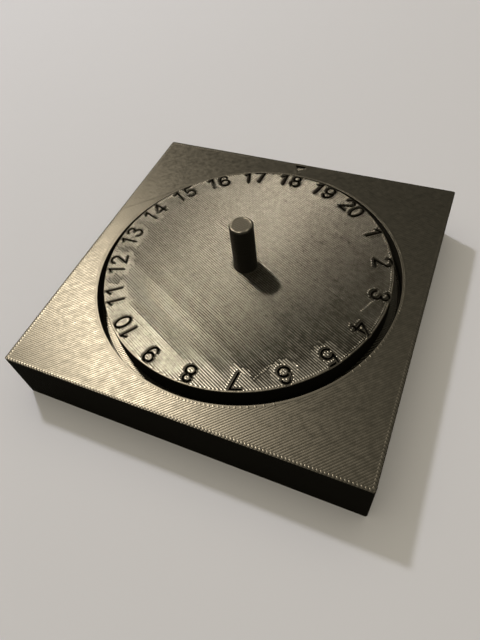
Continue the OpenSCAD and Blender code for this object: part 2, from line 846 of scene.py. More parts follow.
@dataclass(frozen=True)
class Printer:
    """How the plastic is laid, and the beads and walls that come of it."""

    pitch: float = 0.4
    half_width: float = 0.22
    crown: float = 0.14
    root: float = 0.1
    bead_points: int = 14
    border_points: int = 10
    end_lift: float = 0.25
    even_share: float = 0.92
    border_share: float = 0.7
    border_noise: float = 0.25
    border_least: float = 0.25
    layer: float = 0.2
    layer_steps: int = 4
    groove: float = 0.035
    wander: float = 0.012
    probe: float = 0.05
    stride: float = 3.5
    waver: float = 0.012
    flow_noise: float = 0.03
    sharp_angle: float = math.radians(38)
    end_radius: float = 0.2
    end_blunt: float = 0.0025
    end_length: float = 0.45
    end_ramp: float = 0.15
    end_stations: tuple[float, ...] = (0.004, 0.035, 0.1, 0.2, 0.3, 0.45, 0.55)
    press_bend: float = 0.02
    press_lag: float = 0.4
    scar_lap: float = 0.2
    scar_room: float = 1.0

    @property
    def peak(self) -> float:
        """How high the highest bead stands over its level."""
        return self.crown * (1 + self.end_lift)

    def core_level(self, top: float) -> float:
        """The level under a face whose beads reach up to a height."""
        return top - self.peak

    def end_swell(self, distance: np.ndarray) -> np.ndarray:
        """How full a bead is near its end, where it is rounded and a little raised.

        Args:
            distance: how far each point is from the end.

        Returns:
            The share of the bead's full size.
        """
        near = np.minimum(distance, self.end_radius) / self.end_radius
        round_off = np.sqrt(np.clip(1 - (1 - near) ** 2, self.end_blunt, 1))
        raised = self.end_lift * np.clip((self.end_length - distance) / self.end_ramp, 0, 1)
        return round_off * (1 + raised)

    def straight(
        self,
        start: np.ndarray,
        end: np.ndarray,
        crown: float,
        chance: np.random.Generator,
        press: Room | None = None,
    ) -> Bead:
        """Lays one straight bead.

        Args:
            start: where it starts.
            end: where it ends.
            crown: how high it stands.
            chance: the source of its small faults.
            press: what share of its height is left to it at each point.

        Returns:
            The bead.
        """
        length = float(np.linalg.norm(end - start))
        inner = np.arange(self.stride, length - self.stride / 2, self.stride)
        near = np.array([d for d in self.end_stations if d < length / 2])
        probes = np.arange(0.0, length, self.probe)
        late = probes + chance.normal(0, self.press_lag)
        places = start + late[:, None] * (end - start) / length
        left = press(places) if press else np.ones(len(probes))
        bends = probes[1:-1][np.abs(np.diff(left, 2)) > self.press_bend]
        bends = np.concatenate([bends - self.probe, bends, bends + self.probe])
        stations = np.unique(np.concatenate([near, inner, bends, length - near]).round(4))
        keep = np.concatenate([[True], np.diff(stations) > self.end_stations[0]])
        stations = stations[keep]
        along = (end - start) / length
        side = np.array([-along[1], along[0]])
        nearest = np.minimum(stations, length - stations)
        grid = np.arange(0.0, length + self.stride, self.stride)
        free = np.clip(nearest / self.stride, 0, 1)
        drift = np.interp(stations, grid, chance.normal(0, self.waver, len(grid))) * free
        unevenness = np.interp(stations, grid, chance.normal(0, self.flow_noise, len(grid))) * free
        height = np.minimum(crown * (1 + unevenness), self.crown)
        path = start + stations[:, None] * along + drift[:, None] * side
        return Bead(path, self.end_swell(nearest), height, np.interp(stations, probes, left))

    def hatch(
        self,
        angle: float,
        room: Room,
        reach: float,
        chance: np.random.Generator,
        strength: Callable[[np.ndarray], np.ndarray] | None = None,
        press: Room | None = None,
        scars: Sequence[tuple[float, float, float]] = (),
    ) -> list[Bead]:
        """Fills a shape with straight beads.

        Args:
            angle: the beads' direction in plan, in degrees.
            room: how far inside the shape a point is.
            reach: half the size of the square that holds the shape at any angle.
            chance: the source of small faults.
            strength: a share of the full height, by the beads' distance from the axis.
            press: what share of its height is left to a bead at each point.
            scars: lines across the beads, where one bead ends on another: how far along the beads
                each is, and from where to where it runs.

        Returns:
            The beads.
        """
        along, across = directions(angle)
        count = math.ceil(reach / self.pitch)
        offsets = (np.arange(-count, count) + 0.5) * self.pitch
        steps = np.arange(-reach, reach, self.probe)
        shares = strength(offsets) if strength else np.full(len(offsets), self.even_share)
        beads = []
        for offset, share in zip(offsets, shares):
            free = room(across * offset + steps[:, None] * along)
            open_now = free > 0
            changes = np.flatnonzero(open_now[1:] != open_now[:-1])
            before, after = free[changes], free[changes + 1]
            exact = steps[changes] + self.probe * before / (before - after)
            own = self.crown * share * (1 + chance.normal(0, self.flow_noise))
            cuts = [place for place, start, stop in scars if start <= offset <= stop]
            for begin, finish in self._split(exact, cuts):
                if finish - begin > self.half_width:
                    ends = (across * offset + along * place for place in (begin, finish))
                    beads.append(self.straight(*ends, own, chance, press))
        return beads

    def _split(self, ends: np.ndarray, cuts: Sequence[float]) -> list[tuple[float, float]]:
        """Splits runs where a scar crosses them, so that the two parts overlap a little.

        Args:
            ends: where the runs begin and finish, in turn.
            cuts: where scars cross their line.

        Returns:
            The beginning and the finish of each part.
        """
        runs = list(zip(ends[0::2], ends[1::2]))
        for cut in cuts:
            low, high = cut - self.scar_room, cut + self.scar_room
            for run in [run for run in runs if run[0] < low and run[1] > high]:
                runs.remove(run)
                runs += [(run[0], cut + self.scar_lap), (cut - self.scar_lap, run[1])]
        return runs

    def border(
        self, loop: np.ndarray, chance: np.random.Generator, press: Room | None = None
    ) -> Bead:
        """Lays one closed, uneven bead along a loop.

        Args:
            loop: the loop's points in plan.
            chance: the source of its unevenness.
            press: what share of its height is left to it at each point.

        Returns:
            The bead.
        """
        whole = np.ones(len(loop))
        unevenness = chance.normal(0, self.border_noise, len(loop))
        height = self.crown * self.border_share * (1 + unevenness)
        height = np.clip(height, self.crown * self.border_least, self.crown)
        return Bead(loop, whole, height, press(loop) if press else whole, closed=True)

    def broken_border(
        self, loop: np.ndarray, room: Room, chance: np.random.Generator, press: Room | None = None
    ) -> list[Bead]:
        """Lays a bead along a loop, with gaps where there is no room for it.

        Args:
            loop: the loop's points in plan, closely spaced.
            room: how much room there is at a point. A bead that crosses the loop's start is
                parted there.
            chance: the source of its unevenness.
            press: what share of its height is left to it at each point.

        Returns:
            The beads between the gaps.
        """
        whole = self.border(loop, chance, press)
        free = room(loop) > 0
        edges = np.flatnonzero(np.diff(np.concatenate([[0], free, [0]])))
        beads = []
        for begin, finish in zip(edges[0::2], edges[1::2]):
            path = loop[begin:finish]
            steps = np.linalg.norm(np.diff(path, axis=0), axis=1)
            done = np.concatenate([[0.0], np.cumsum(steps)])
            nearest = np.minimum(done, done[-1] - done)
            if done[-1] > self.half_width:
                height, left = whole.crown[begin:finish], whole.left[begin:finish]
                beads.append(Bead(path, self.end_swell(nearest), height, left))
        return beads

    def lay(
        self,
        recipe: Recipe,
        beads: Sequence[Bead],
        top: float,
        material: bpy.types.Material,
        points: int,
        facing: Facing = Facing.UP,
    ) -> bpy.types.Mesh:
        """Sweeps beads into one mesh.

        Args:
            recipe: the tree that sweeps them.
            beads: the beads.
            top: the height that the highest bead reaches.
            material: their plastic.
            points: how many points go round a bead.
            facing: which way the beads look.

        Returns:
            The mesh, in millimetres.
        """
        level = self.core_level(top * facing.value)
        spots, links, start = [], [], 0
        for bead in beads:
            count = len(bead.path)
            spots.append(np.column_stack([bead.path, np.full(count, level)]))
            last = count if bead.closed else count - 1
            links.extend((start + k, start + (k + 1) % count) for k in range(last))
            start += count
        lines = bpy.data.meshes.new("spines")
        lines.from_pydata(np.vstack(spots).tolist(), links, [])
        left = np.concatenate([bead.left for bead in beads])
        for name, values in (
            ("swell", np.concatenate([bead.swell for bead in beads])),
            ("crown", np.concatenate([bead.crown for bead in beads]) * left),
            ("level", np.full(start, level)),
            (PRESSED, 1 - left),
        ):
            carried = lines.attributes.new(name, "FLOAT", "POINT")
            carried.data.foreach_set("value", values.astype(np.float32))
        inputs = {"Half Width": self.half_width, "Root": self.root, "Points": points}
        mesh = recipe.bake(lines, {**inputs, "Material": material})
        if facing is Facing.DOWN:
            mesh.transform(Matrix.Diagonal((1, 1, -1, 1)))
            mesh.flip_normals()
        for name in ("swell", "crown", "level"):
            if name in mesh.attributes:
                mesh.attributes.remove(mesh.attributes[name])
        return mesh

    def wall(
        self,
        recipe: Recipe,
        outline: np.ndarray,
        top: float,
        bottom: float,
        seed: int,
        bevel: float = 0.0,
    ) -> bpy.types.Mesh:
        """Stacks layers into a wall.

        Args:
            recipe: the tree that stacks them.
            outline: the wall's outline in plan, with its plastic on the left.
            top: the wall's upper end.
            bottom: its lower end.
            seed: the seed of the layers' small shifts.
            bevel: how far its two ends are drawn in.

        Returns:
            The mesh, in millimetres.
        """
        count = len(outline)
        lines = bpy.data.meshes.new("outline")
        places = np.column_stack([outline, np.full(count, top)])
        lines.from_pydata(places.tolist(), [(k, (k + 1) % count) for k in range(count)], [])
        inputs = {
            "Height": top - bottom,
            "Layers": max(1, round((top - bottom) / self.layer)),
            "Steps": self.layer_steps,
            "Groove": self.groove,
            "Wander": self.wander,
            "Bevel": bevel,
            "Seed": seed,
        }
        return recipe.bake(lines, inputs)


# Finishes


@dataclass(frozen=True)
class PrintedPlastic:
    """Black printed plastic: satin, with faint streaks along its beads and a fine grain."""

    name: str
    angle: float
    deep: Colour = (0.0125, 0.0115, 0.0085)
    pale: Colour = (0.021, 0.0192, 0.0145)
    roughness: float = 0.38
    roughness_streak: float = 0.07
    roughness_spread: float = 0.07
    streak_length: float = 9.0
    streak_width: float = 0.35
    streak_detail: float = 3.0
    streak_roughness: float = 0.55
    streak_tone: float = 0.6
    streak_bump: float = 0.7
    grain_size: float = 0.12
    grain_detail: float = 2.0
    grain_bump: float = 0.5
    bump_height: float = 0.012
    cloud_size: float = 1.6
    cloud_detail: float = 3.0
    cloud_tone: float = 0.4
    specular: float = 0.5
    specular_tint: Colour = (1.0, 0.95, 0.86)
    coat_roughness: float = 0.3
    coat_mottle: float = 0.0
    coat_streak: float = 0.0
    bands: Stops = ()
    fade: Stops = ()
    pressed_shine: Stops = ()
    band_reach: float = 26.5
    stacked: bool = False

    def material(self) -> bpy.types.Material:
        """Builds the material.

        Returns:
            The material.
        """
        made = bpy.data.materials.new(self.name)
        graph = Graph.of(made)
        place = graph.node("ShaderNodeTexCoord", None, "Object")
        turn, size = (0.0, 0.0, math.radians(self.angle)), self._streak_size()
        inputs = {"Vector": place, "Rotation": turn, "Scale": size}
        flow = graph.node("ShaderNodeMapping", inputs, vector_type="TEXTURE")
        streak = graph.noise(flow, 1.0, self.streak_detail, self.streak_roughness)
        grain = graph.noise(place, self.grain_size * MM, self.grain_detail)
        cloud = graph.noise(place, self.cloud_size * MM, self.cloud_detail)
        tone = (streak * self.streak_tone + cloud * self.cloud_tone).held()
        roughness = self.roughness + (streak - 0.5) * self.roughness_streak
        roughness += (cloud - 0.5) * self.roughness_spread
        relief = streak * self.streak_bump + grain * self.grain_bump
        inputs = {"Strength": 1.0, "Distance": self.bump_height * MM, "Height": relief}
        bump = graph.node("ShaderNodeBump", inputs)
        inputs = {
            "Base Color": graph.mix(tone, self.deep, self.pale),
            "Roughness": roughness,
            "Specular IOR Level": self.specular,
            "Specular Tint": (*self.specular_tint, 1.0),
            "Coat Roughness": self.coat_roughness,
            "Coat Tint": (*self.specular_tint, 1.0),
            "Normal": bump,
        }
        if self.bands:
            mottle = (cloud - 0.5) * self.coat_mottle + (streak - 0.5) * self.coat_streak
            inputs["Coat Weight"] = (self._banded(graph, flow) + mottle).held()
        plastic = graph.node("ShaderNodeBsdfPrincipled", inputs)
        graph.end("ShaderNodeOutputMaterial", "Surface", plastic)
        return made

    def _banded(self, graph: Graph, flow: Signal) -> Signal:
        """Makes the bands of fuller and thinner fill, which shine more and less.

        Args:
            graph: the material's tree.
            flow: the place along and across the beads, in streaks.

        Returns:
            How much clear shine each place has.
        """
        place = graph.parts(flow)
        across, along = place.also("Y") * self.streak_width, place * self.streak_length
        pressed = graph.node("ShaderNodeAttribute", None, "Fac", attribute_name=PRESSED)
        shine = self._by_stops(graph, across, self.bands) * self._by_stops(graph, along, self.fade)
        return shine + pressed * self._by_stops(graph, along, self.pressed_shine)

    def _by_stops(self, graph: Graph, place: Signal, stops: Stops) -> Signal:
        """Looks a place up in a list of stops.

        Args:
            graph: the material's tree.
            place: the place, in millimetres from the axis.
            stops: places, and the value at each.

        Returns:
            The value there, as a number and not as a grey.
        """
        full = 2 * self.band_reach
        spread = [(stop / full + 0.5, value) for stop, value in stops]
        return graph.node("ShaderNodeValToRGB", {0: place / full + 0.5}, stops=spread) + 0.0

    def _streak_size(self) -> tuple[float, float, float]:
        """The size of a streak along, across and up, in metres."""
        long, thin = self.streak_length * MM, self.streak_width * MM
        return (long, long, thin) if self.stacked else (long, thin, long)


@dataclass(frozen=True)
class Workshop:
    """What every sub-assembly is made with, the body it makes pieces for, and an unused slot."""

    printer: Printer
    beads: Recipe
    layers: Recipe
    body: Body = Body.BASE
    slot: Slot = Slot.BASE

    def set_to(self, **settings: float) -> "Workshop":
        """The same tools, with the printer set another way."""
        return replace(self, printer=replace(self.printer, **settings))

    def on(self, body: Body, slot: Slot, **settings: float) -> "Workshop":
        """The tools for the pieces of a body, holding a slot, with the printer set for them."""
        return replace(self.set_to(**settings), body=body, slot=slot)

    def finish(
        self,
        name: str,
        mesh: bpy.types.Mesh,
        plastic: bpy.types.Material,
        stands_for: str | None = None,
    ) -> None:
        """Turns a mesh in millimetres into a piece of the model.

        Args:
            name: the piece's name.
            mesh: the mesh.
            plastic: its plastic.
            stands_for: the CAD node that it stands for, if any.
        """
        body, slot = self.body, self.slot
        mesh.name = name
        mesh.transform(Matrix.Scale(MM, 4))
        mesh.materials.clear()
        mesh.materials.append(plastic)
        piece = place_object(name, mesh)
        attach(piece, body.value)
        if stands_for:
            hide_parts(stands_for)
        triangles = sum(len(face.vertices) - 2 for face in mesh.polygons)
        LOG.info("%s: %d triangles, on %s", name, triangles, body.value)

    def lay(
        self,
        name: str,
        beads: Sequence[Bead],
        top: float,
        plastic: bpy.types.Material,
        points: int | None = None,
        facing: Facing = Facing.UP,
    ) -> None:
        """Makes a piece of beads.

        Args:
            name: the piece's name.
            beads: the beads.
            top: the height that the highest bead reaches.
            plastic: their plastic.
            points: how many points go round a bead, if not as many as round a border.
            facing: which way the beads look.
        """
        around = points or self.printer.border_points
        mesh = self.printer.lay(self.beads, beads, top, plastic, around, facing)
        self.finish(name, mesh, plastic)

    def underside(
        self,
        name: str,
        room: Room,
        reach: float,
        loops: Sequence[np.ndarray],
        bottom: float,
        angle: float,
        plastic: bpy.types.Material,
    ) -> None:
        """Makes a piece of the first layer, which the print bed has pressed nearly flat.

        Args:
            name: the piece's name.
            room: how far inside the underside a point is.
            reach: half the size of the square that holds it at any angle.
            loops: the borders that run along its edges.
            bottom: the underside's height.
            angle: the beads' direction in plan, in degrees.
            plastic: their plastic.
        """
        chance = np.random.default_rng(SEED + 3)
        bed = self.set_to(crown=BED_CROWN, end_lift=0.0)
        beads = bed.printer.hatch(angle, room, reach, chance)
        beads += [bed.printer.border(loop, chance) for loop in loops]
        bed.lay(name, beads, bottom, plastic, facing=Facing.DOWN)


# Numerals


@dataclass(frozen=True)
class Bar:
    """A straight stroke, in shares of a numeral's height."""

    x0: float
    y0: float
    x1: float
    y1: float

    def points(self, steps: int) -> np.ndarray:
        """The stroke's two ends."""
        return np.array([[self.x0, self.y0], [self.x1, self.y1]])


@dataclass(frozen=True)
class Bow:
    """A stroke along part of an ellipse, in shares of a numeral's height and in degrees."""

    x: float
    y: float
    across: float
    up: float
    start: float = 0.0
    stop: float = 360.0
    LEAST_STEPS: ClassVar[int] = 3

    def points(self, steps: int) -> np.ndarray:
        """Points along the stroke.

        Args:
            steps: how many steps a full turn takes.

        Returns:
            The points.
        """
        count = max(self.LEAST_STEPS, round(abs(self.stop - self.start) / 360 * steps))
        turn = np.radians(np.linspace(self.start, self.stop, count + 1))
        x, y = self.x + self.across * np.cos(turn), self.y + self.up * np.sin(turn)
        return np.stack([x, y], axis=1)


SIX = (Bow(0.335, 0.315, 0.26, 0.25), Bow(0.335, 0.5, 0.262, 0.435, 180, 35))
STROKES: dict[str, tuple[Bar | Bow, ...]] = {
    "0": (Bow(0.33, 0.5, 0.265, 0.435),),
    "1": (Bar(0.42, 0.065, 0.42, 0.935), Bar(0.42, 0.935, 0.19, 0.74)),
    "2": (
        Bow(0.33, 0.69, 0.25, 0.245, 170, -32),
        Bar(0.542, 0.56, 0.09, 0.065),
        Bar(0.09, 0.065, 0.6, 0.065),
    ),
    "3": (Bow(0.32, 0.735, 0.22, 0.2, 160, -90), Bow(0.32, 0.3, 0.255, 0.235, 90, -165)),
    "4": (Bar(0.47, 0.065, 0.47, 0.935), Bar(0.47, 0.935, 0.04, 0.3), Bar(0.04, 0.3, 0.63, 0.3)),
    "5": (
        Bar(0.57, 0.935, 0.16, 0.935),
        Bar(0.16, 0.935, 0.105, 0.48),
        Bow(0.32, 0.33, 0.265, 0.265, 144, -145),
    ),
    "6": SIX,
    "7": (Bar(0.07, 0.935, 0.6, 0.935), Bar(0.6, 0.935, 0.25, 0.065)),
    "8": (Bow(0.33, 0.735, 0.21, 0.2), Bow(0.33, 0.3, 0.26, 0.235)),
    "9": SIX,
}
UPSIDE_DOWN = frozenset("9")
DIGIT_BOX = (0.67, 1.0)


@dataclass(frozen=True)
class Numeral:
    """One engraved number, which stands with its top to the dial's rim."""

    value: int
    bearing: float
    foot: float
    height: float
    centre: tuple[float, float]
    half_stroke: float = 0.19
    advance: float = 0.777
    lead: float = 0.055
    turn_steps: int = 40
    grid: float = 0.07
    margin_cells: int = 3

    def strokes(self) -> np.ndarray:
        """The strokes' straight pieces, along the reading direction and out from the axis.

        Returns:
            The two ends of each piece.
        """
        text = str(self.value)
        pieces = []
        for place, digit in enumerate(text):
            left = (place - len(text) / 2) * self.advance + self.lead
            for stroke in STROKES[digit]:
                points = stroke.points(self.turn_steps)
                if digit in UPSIDE_DOWN:
                    points = np.array(DIGIT_BOX) - points
                points = (points + [left, 0.0]) * self.height + [0.0, self.foot]
                pieces.append(np.stack([points[:-1], points[1:]], axis=1))
        return np.concatenate(pieces)

    def axes(self) -> np.ndarray:
        """The reading direction and the outward direction, in plan."""
        outward, left = directions(self.bearing)
        return np.array([-left, outward])

    def distance(self, points: np.ndarray) -> np.ndarray:
        """How far points are from the middle of the nearest stroke.

        Args:
            points: places in the number's own frame.

        Returns:
            The distances.
        """
        pieces = self.strokes()
        start, run = pieces[:, 0], pieces[:, 1] - pieces[:, 0]
        reach = points[:, None, :] - start
        share = np.clip((reach * run).sum(axis=2) / (run**2).sum(axis=1), 0, 1)
        return np.linalg.norm(reach - share[..., None] * run, axis=2).min(axis=1)

    def outlines(self, offset: float, spacing: float) -> list[np.ndarray]:
        """The loops at a distance from the groove's edge.

        Args:
            offset: that distance.
            spacing: about how far apart the loops' points are.

        Returns:
            The loops, in plan.
        """
        reach = self.half_stroke + offset
        pieces = self.strokes().reshape(-1, 2)
        edge = reach + self.margin_cells * self.grid
        low, high = pieces.min(axis=0) - edge, pieces.max(axis=0) + edge
        loops = level_loops(self.distance, low, high, self.grid, reach)
        loops = [loop for loop in loops if len(loop) > LEAST_POINTS]
        return [resampled(loop, spacing) @ self.axes() + self.centre for loop in loops]


@dataclass(frozen=True)
class NumeralRing:
    """The numbers round the dial, and the room that their grooves leave."""

    rim: float
    first_bearing: float = 36.5
    count: int = 20
    inset: float = 0.15
    height: float = 3.4
    centre: tuple[float, float] = (0.05, 0.22)
    reach: float = 2.2
    slack: float = 3.0
    far: float = 99.0

    def numerals(self) -> list[Numeral]:
        """The numbers, which run clockwise.

        Returns:
            One entry for each number.
        """
        step = 360 / self.count
        foot = self.rim - self.inset - self.height
        return [
            Numeral(k + 1, self.first_bearing - step * k, foot, self.height, self.centre)
            for k in range(self.count)
        ]

    def __call__(self, points: np.ndarray) -> np.ndarray:
        """How far each point is from the edge of the nearest groove.

        Args:
            points: places in plan.

        Returns:
            The distances, less than zero in a groove.
        """
        room = np.full(len(points), self.far)
        points = points - self.centre
        radius = np.hypot(points[:, 0], points[:, 1])
        bearing = np.degrees(np.arctan2(points[:, 1], points[:, 0]))
        for numeral in self.numerals():
            turn = (bearing - numeral.bearing + 180) % 360 - 180
            beside = np.abs(turn) < 180 / self.count + self.slack
            near = np.flatnonzero((radius > numeral.foot - self.reach) & beside)
            if len(near):
                local = points[near] @ numeral.axes().T
                room[near] = np.minimum(room[near], numeral.distance(local) - numeral.half_stroke)
        return room


# Sub-assemblies


@dataclass
class CounterBase:
    """The square block with the round pocket, the index mark and the spindle's bore."""

    side: float
    height: float
    corner: float = 0.4
    pocket_radius: float = 27.5
    floor: float = 7.8
    bore_radius: float = 2.2
    bore_bottom: float = 1.5
    bore_lead: float = 0.5
    mark: Polygon = Polygon(((0.0, 28.8), (1.2, 31.0), (-1.2, 31.0)))
    mark_depth: float = 0.6
    mark_angle: float = -35.0
    mark_crown: float = 0.12
    face_angle: float = 45.0
    steps: int = 240
    bore_steps: int = 48
    stride: float = 3.0
    corner_steps: int = 5
    least_corner: float = 0.15
    reach_share: float = 0.72
    lap: float = 0.26
    edge_lap: float = 0.17
    edge_share: float = 0.6
    seam_share: float = 0.7
    skin: float = 0.03
    crown: float = 0.042
    end_lift: float = 0.45
    half_width: float = 0.26
    rim_crown: float = 0.025

    def outline(self, inset: float = 0.0) -> np.ndarray:
        """The block's outline, drawn in by some distance."""
        radius = max(self.corner - inset, self.least_corner)
        return rounded_square(self.side - 2 * inset, radius, self.stride, self.corner_steps)

    def block(self, shop: Workshop) -> bpy.types.Mesh:
        """Builds the block without its beads.

        Args:
            shop: the tools.

        Returns:
            The mesh, in millimetres.
        """
        printer = shop.printer
        top, floor = printer.core_level(self.height), printer.core_level(self.floor)
        square, bottom = self.outline(), self.skin
        pocket = circle(self.pocket_radius, self.steps, Winding.SOLID_OUTSIDE)
        mouth = circle(self.bore_radius + self.bore_lead, self.bore_steps)
        solid = Solid()
        solid.add_mesh(printer.wall(shop.layers, square, top, bottom, SEED))
        solid.add_mesh(printer.wall(shop.layers, pocket, top, floor, SEED + 1))
        mark = np.array(self.mark.corners)
        solid.add_face([square, pocket], top, [mark], self.height - self.mark_depth)
        solid.add_face([pocket, mouth], floor)
        solid.add_face([square], bottom)
        radius = self.bore_radius
        solid.add_turned(
            [
                (radius + self.bore_lead, floor),
                (radius, self.floor - self.bore_lead),
                (radius, self.bore_bottom),
                (0.0, self.bore_bottom),
            ],
            self.bore_steps,
        )
        return solid.mesh("block", printer.sharp_angle)

    def face_beads(self, printer: Printer, chance: np.random.Generator) -> list[Bead]:
        """Lays the beads of the top face.

        Args:
            printer: how they are laid.
            chance: the source of small faults.

        Returns:
            The beads.
        """
        square = Square(self.side / 2 + self.lap - self.edge_lap)
        room = Overlap((square, Outside(Disc(self.pocket_radius)), Outside(self.mark)), self.lap)

        def strength(offsets: np.ndarray) -> np.ndarray:
            """Beads are lower where the fill was split by the pocket."""
            seam = np.abs(np.abs(offsets) - self.pocket_radius) < printer.pitch
            return np.where(seam, self.seam_share, printer.even_share)

        beads = printer.hatch(self.face_angle, room, self.side * self.reach_share, chance, strength)
        around = self.outline(printer.half_width * self.edge_share)
        edge = printer.border(resampled(around, printer.pitch), chance)
        beads.append(replace(edge, swell=edge.swell * self.edge_share))
        return beads

    def build(self, tools: Workshop) -> None:
        """Builds and dresses the base's pieces.

        Args:
            tools: the tools.
        """
        settings = {"end_lift": self.end_lift, "half_width": self.half_width}
        shop = tools.on(Body.BASE, Slot.BASE, crown=self.crown, **settings)
        printer, chance, angle = shop.printer, np.random.default_rng(SEED), self.face_angle
        # Painted shade: the block's walls and underside, the top face beads and the rim beads take
        # the darker side colours. The pocket floor's beads take the darkest pair, in place of the
        # shade in the gap round the dial.
        side = {"deep": PAINTED_SHADE_PALE, "pale": PAINTED_SHADE_SIDE_PALE}
        painted_shade = {"deep": PAINTED_SHADE_DEEP, "pale": PAINTED_SHADE_PALE}
        walls = PrintedPlastic(
            "base_wall_plastic", 0.0, **side, roughness=0.42, specular=0.2, stacked=True
        ).material()
        face = PrintedPlastic(
            "base_face_plastic",
            angle,
            **side,
            roughness=0.355,
            roughness_streak=0.06,
            roughness_spread=0.28,
            cloud_size=0.9,
            specular=0.34,
        ).material()
        rough = PrintedPlastic(
            "base_rim_plastic", angle, **side, roughness=0.4, specular=0.33
        ).material()
        dull = PrintedPlastic(
            "pocket_floor_plastic", angle, **painted_shade, roughness=0.28, specular=0.25
        ).material()
        shop.finish("base_block", self.block(shop), walls, "base")
        beads = self.face_beads(printer, chance)
        shop.lay("base_face_beads", beads, self.height, face, printer.bead_points)

        flat = shop.set_to(crown=self.rim_crown, root=printer.root + self.rim_crown)
        edge = printer.half_width
        limit = self.side / 2 - edge
        rims = [
            circle(self.pocket_radius + edge, self.steps),
            resampled(self.mark.grown(edge), printer.pitch / 2),
        ]
        beads = [flat.printer.border(np.clip(rim, -limit, limit), chance) for rim in rims]
        flat.lay("rim_beads", beads, self.height, rough)

        mouth = self.bore_radius + self.bore_lead
        room = Overlap((Disc(self.pocket_radius), Outside(Disc(mouth))), self.lap)
        beads = printer.hatch(angle, room, self.pocket_radius, chance)
        beads.append(printer.border(circle(mouth + edge, self.bore_steps), chance))
        shop.lay("pocket_floor_beads", beads, self.floor, dull)

        sunk = shop.set_to(crown=self.mark_crown)
        room = Overlap((self.mark,), printer.root)
        beads = sunk.printer.hatch(self.mark_angle, room, self.side / 2, chance)
        sunk.lay("index_mark_beads", beads, self.height - self.mark_depth + sunk.printer.peak, face)

        room = Overlap((Square(self.side / 2),), self.lap)
        around, reach = resampled(self.outline(edge), printer.pitch), self.side * self.reach_share
        shop.underside("base_underside_beads", room, reach, [around], 0.0, -angle, walls)


